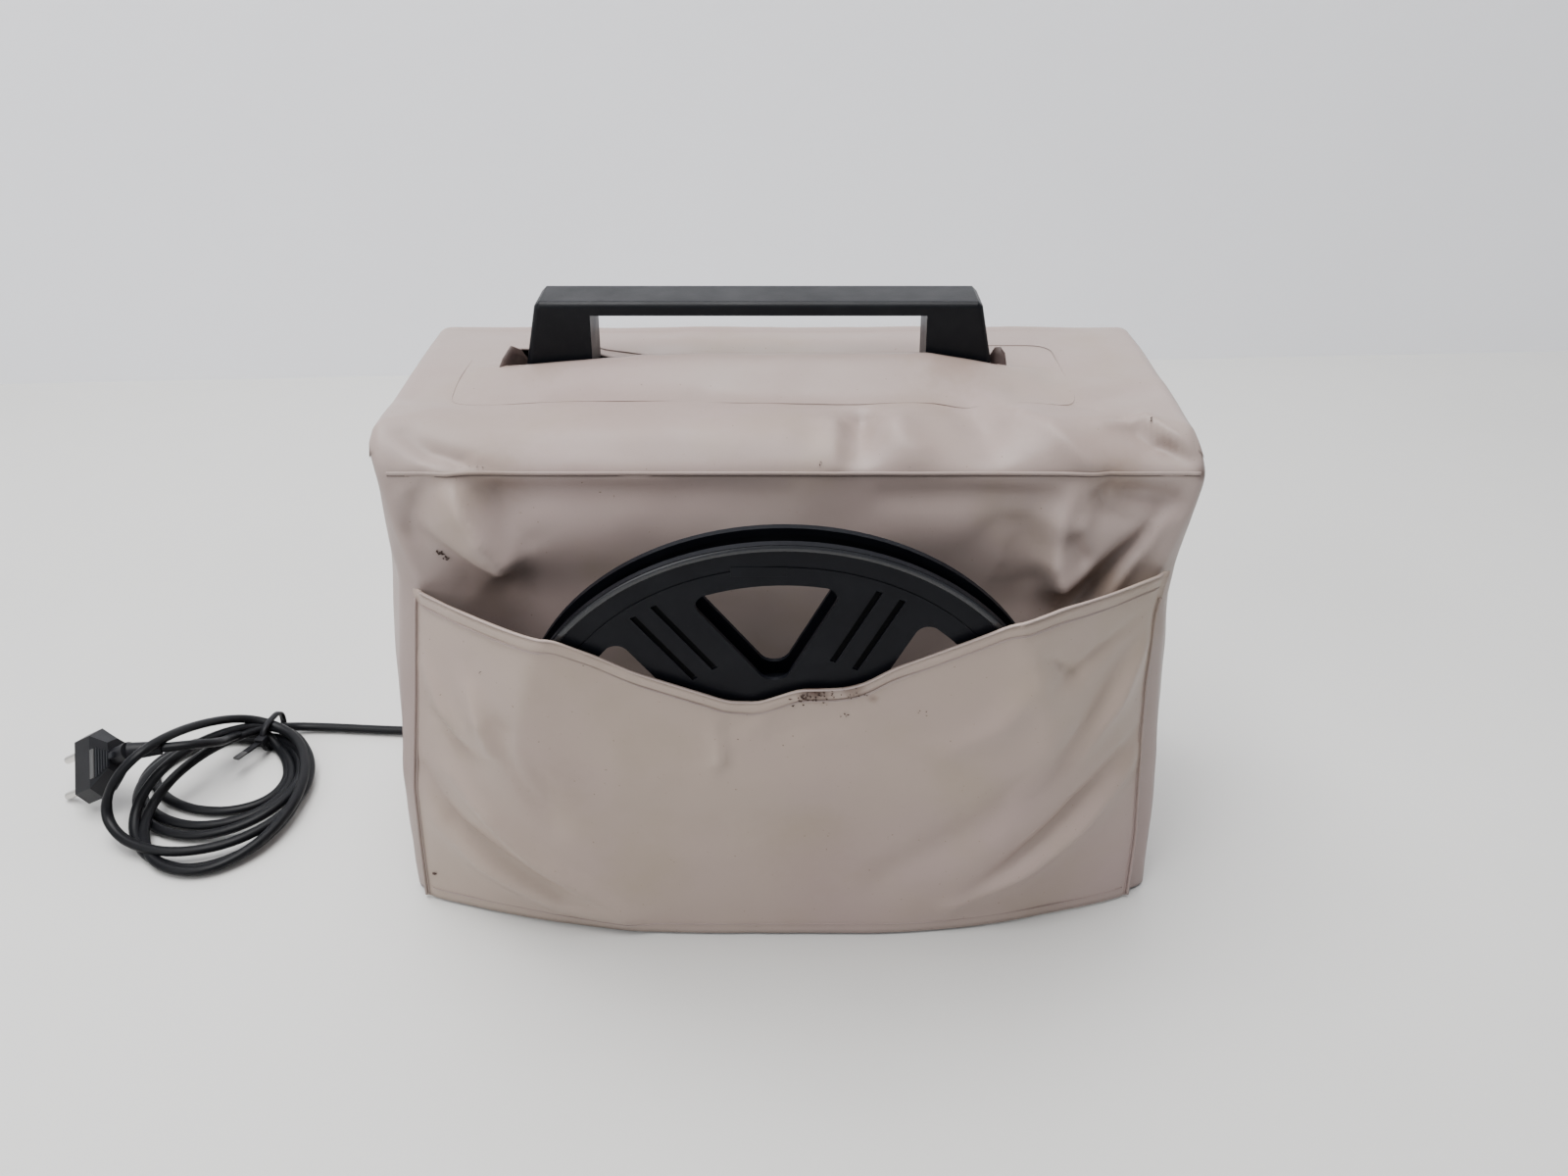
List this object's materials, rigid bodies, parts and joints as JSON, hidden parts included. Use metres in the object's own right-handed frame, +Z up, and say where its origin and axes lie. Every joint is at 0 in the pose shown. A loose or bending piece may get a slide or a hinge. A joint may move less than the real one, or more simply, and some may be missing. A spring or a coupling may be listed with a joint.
{
  "type": "cine film projector",
  "caption": "Portable cine film projector in a vinyl dust cover, with a carrying handle through the top, a film reel in the front pocket and a coiled mains lead.",
  "frame": {"origin": "on the table, below the middle of the box around the projector, its cover and its reel, without the mains lead", "axes": "+Z up, -Y towards the operator's side with the pocket, +X to that operator's right"},
  "size_m": [0.5254, 0.1916, 0.257],
  "materials": {
    "cover_vinyl": "semi-gloss soft vinyl",
    "reel_plastic": "black moulded",
    "handle_plastic": "black satin",
    "housing_plastic": "dark grey, fine spark texture",
    "black_plastic": "black",
    "red_plastic": "red",
    "grey_plastic": "grey",
    "sheet_metal": "plain",
    "turned_steel": "turned",
    "cast_metal": "painted",
    "anodised": "black anodised",
    "worm_wheel_brass": "cut",
    "glass": "clear",
    "mirror": "bright",
    "rubber": "matte",
    "copper": "enamelled copper",
    "board": "green laminate",
    "speaker_paper": "paper cone",
    "lead_pvc": "black soft PVC",
    "pin_metal": "nickel plated"
  },
  "bodies": {
    "projector": {"base_plate": "sheet_metal", "rubber_feet": "rubber", "chassis_plate": "sheet_metal", "front_housing": "housing_plastic", "rear_housing": "housing_plastic", "housing_screws": "turned_steel", "handle_guides": "black_plastic", "lens_holder": "black_plastic", "gate_plate": "sheet_metal", "shutter_bearings": "cast_metal", "lamp_house": "sheet_metal", "lamp_reflector": "mirror", "lamp_bulb": "glass", "lamp_socket": "black_plastic", "motor_body": "cast_metal", "drive_belt": "rubber", "timing_belt": "rubber", "transformer_core": "cast_metal", "transformer_coil": "copper", "loudspeaker": "speaker_paper", "amplifier_board": "board", "cord_anchor": "black_plastic", "mains_lead": "lead_pvc", "lead_coil": "lead_pvc", "lead_tie": "black_plastic", "plug_body": "black_plastic", "plug_pins": "pin_metal"},
    "cover": {"cover_top_panel": "cover_vinyl", "cover_front_panel": "cover_vinyl", "cover_rear_panel": "cover_vinyl", "cover_left_panel": "cover_vinyl", "cover_right_panel": "cover_vinyl", "cover_pocket_panel": "cover_vinyl", "cover_slot_patch": "cover_vinyl"},
    "reel": {"reel_front_flange": "reel_plastic", "reel_rear_flange": "reel_plastic", "reel_core": "reel_plastic"},
    "handle": {"handle": "handle_plastic"},
    "lens": {"lens_barrel": "anodised", "lens_elements": "glass"},
    "focus_control": {"focus_knob": "black_plastic"},
    "motor_rotor": {"motor_shaft": "turned_steel", "fan_wheel": "black_plastic"},
    "shutter": {"shutter_shaft": "turned_steel", "shutter_blades": "sheet_metal", "flywheel_pulley": "black_plastic"},
    "takeup_drive": {"takeup_sprocket": "black_plastic", "worm_wheel": "worm_wheel_brass"},
    "feed_drive": {"feed_sprocket": "black_plastic"},
    "supply_arm": {"supply_arm": "black_plastic"},
    "takeup_arm": {"takeup_arm": "black_plastic"},
    "supply_spindle": {"supply_spindle": "black_plastic"},
    "takeup_spindle": {"takeup_spindle": "black_plastic"},
    "selector": {"selector_knob": "black_plastic"},
    "framing": {"framing_knob": "black_plastic"},
    "volume": {"volume_knob": "black_plastic"},
    "lamp_button": {"lamp_button": "red_plastic"},
    "motor_button": {"motor_button": "grey_plastic"},
    "tilt_foot": {"tilt_foot": "rubber"},
    "pressure_plate": {"pressure_plate": "sheet_metal"}
  },
  "joints": [
    {"name": "cover_lift", "type": "slide", "parent": "projector", "child": "cover", "axis": [0, 0, 1], "range_m": [0, 0.27]},
    {"name": "reel_lift", "type": "slide", "parent": "cover", "child": "reel", "axis": [0, -0.1822, 0.9833], "range_m": [0, 0.17]},
    {"name": "handle_drop", "type": "slide", "parent": "projector", "child": "handle", "axis": [0, 0, -1], "range_m": [0, 0.022]},
    {"name": "focus_turn", "type": "hinge", "parent": "projector", "child": "focus_control", "pos_m": [-0.118, -0.02973, 0.1463], "axis": [0, -1, 0], "range_deg": [-60, 60]},
    {"name": "lens_focus", "type": "slide", "parent": "projector", "child": "lens", "axis": [1, 0, 0], "range_m": [-0.003, 0.003]},
    {"name": "motor_spin", "type": "hinge", "parent": "projector", "child": "motor_rotor", "pos_m": [0, 0.00177, 0.038], "axis": [1, 0, 0], "continuous": true},
    {"name": "shutter_spin", "type": "hinge", "parent": "projector", "child": "shutter", "pos_m": [0, 0.00177, 0.098], "axis": [1, 0, 0], "continuous": true},
    {"name": "takeup_sprocket_spin", "type": "hinge", "parent": "projector", "child": "takeup_drive", "pos_m": [-0.122, 0, 0.0751], "axis": [0, 1, 0], "continuous": true},
    {"name": "feed_sprocket_spin", "type": "hinge", "parent": "projector", "child": "feed_drive", "pos_m": [-0.122, 0, 0.19], "axis": [0, 1, 0], "continuous": true},
    {"name": "supply_arm_swing", "type": "hinge", "parent": "projector", "child": "supply_arm", "pos_m": [-0.09, -0.00573, 0.196], "axis": [0, -1, 0], "range_deg": [0, 8]},
    {"name": "takeup_arm_swing", "type": "hinge", "parent": "projector", "child": "takeup_arm", "pos_m": [0.13, -0.00573, 0.196], "axis": [0, 1, 0], "range_deg": [0, 8]},
    {"name": "supply_spindle_spin", "type": "hinge", "parent": "supply_arm", "child": "supply_spindle", "pos_m": [0.005, -0.00573, 0.196], "axis": [0, 1, 0], "continuous": true},
    {"name": "takeup_spindle_spin", "type": "hinge", "parent": "takeup_arm", "child": "takeup_spindle", "pos_m": [0.035, -0.00573, 0.196], "axis": [0, 1, 0], "continuous": true},
    {"name": "selector_turn", "type": "hinge", "parent": "projector", "child": "selector", "pos_m": [0.095, -0.02973, 0.06], "axis": [0, -1, 0], "range_deg": [-60, 60]},
    {"name": "framing_turn", "type": "hinge", "parent": "projector", "child": "framing", "pos_m": [-0.02, -0.02973, 0.06], "axis": [0, -1, 0], "range_deg": [-150, 150]},
    {"name": "volume_turn", "type": "hinge", "parent": "projector", "child": "volume", "pos_m": [0.04, -0.02973, 0.06], "axis": [0, -1, 0], "range_deg": [0, 270]},
    {"name": "lamp_press", "type": "slide", "parent": "projector", "child": "lamp_button", "axis": [0, 1, 0], "range_m": [0, 0.0025], "stiffness_N_per_m": 300},
    {"name": "motor_press", "type": "slide", "parent": "projector", "child": "motor_button", "axis": [0, 1, 0], "range_m": [0, 0.0025], "stiffness_N_per_m": 300},
    {"name": "tilt_foot_height", "type": "slide", "parent": "projector", "child": "tilt_foot", "axis": [0, 0, -1], "range_m": [0, 0.012]},
    {"name": "gate_pressure", "type": "slide", "parent": "projector", "child": "pressure_plate", "axis": [-1, 0, 0], "range_m": [0, 0.003], "stiffness_N_per_m": 150}
  ],
  "couplings": [
    {"joint": "focus_turn", "follows": "lens_focus", "rad_per_m": 333.33},
    {"joint": "shutter_spin", "follows": "motor_spin", "ratio": 0.35065},
    {"joint": "takeup_sprocket_spin", "follows": "motor_spin", "ratio": 0.029221},
    {"joint": "feed_sprocket_spin", "follows": "motor_spin", "ratio": 0.029221}
  ]
}
